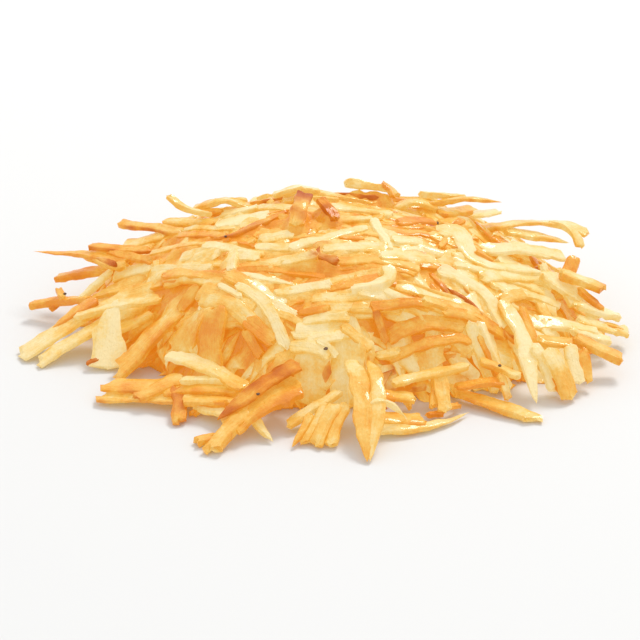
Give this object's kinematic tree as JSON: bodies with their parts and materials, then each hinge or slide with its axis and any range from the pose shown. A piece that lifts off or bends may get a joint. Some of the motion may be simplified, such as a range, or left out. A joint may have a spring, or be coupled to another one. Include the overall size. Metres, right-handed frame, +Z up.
{
  "type": "hash brown",
  "caption": "Low loose heap of fried potato shreds, golden with browned ends, lying as served on a flat surface.",
  "frame": {"origin": "middle of the flat underside, halfway along the length and the depth of the whole heap", "axes": "+X along the heap's long side, +Y from its gentle front slope to its back, +Z up"},
  "size_m": [0.1674, 0.1348, 0.0351],
  "materials": {
    "fried_potato": "oily, moist shreds, golden and partly see-through",
    "pale_potato": "soft, lightly cooked shreds with an oily shine",
    "browned_potato": "crisp browned ends and edges",
    "black_pepper": "ground specks"
  },
  "bodies": {
    "root": {"hash_brown_heap": "fried_potato"}
  },
  "joints": []
}
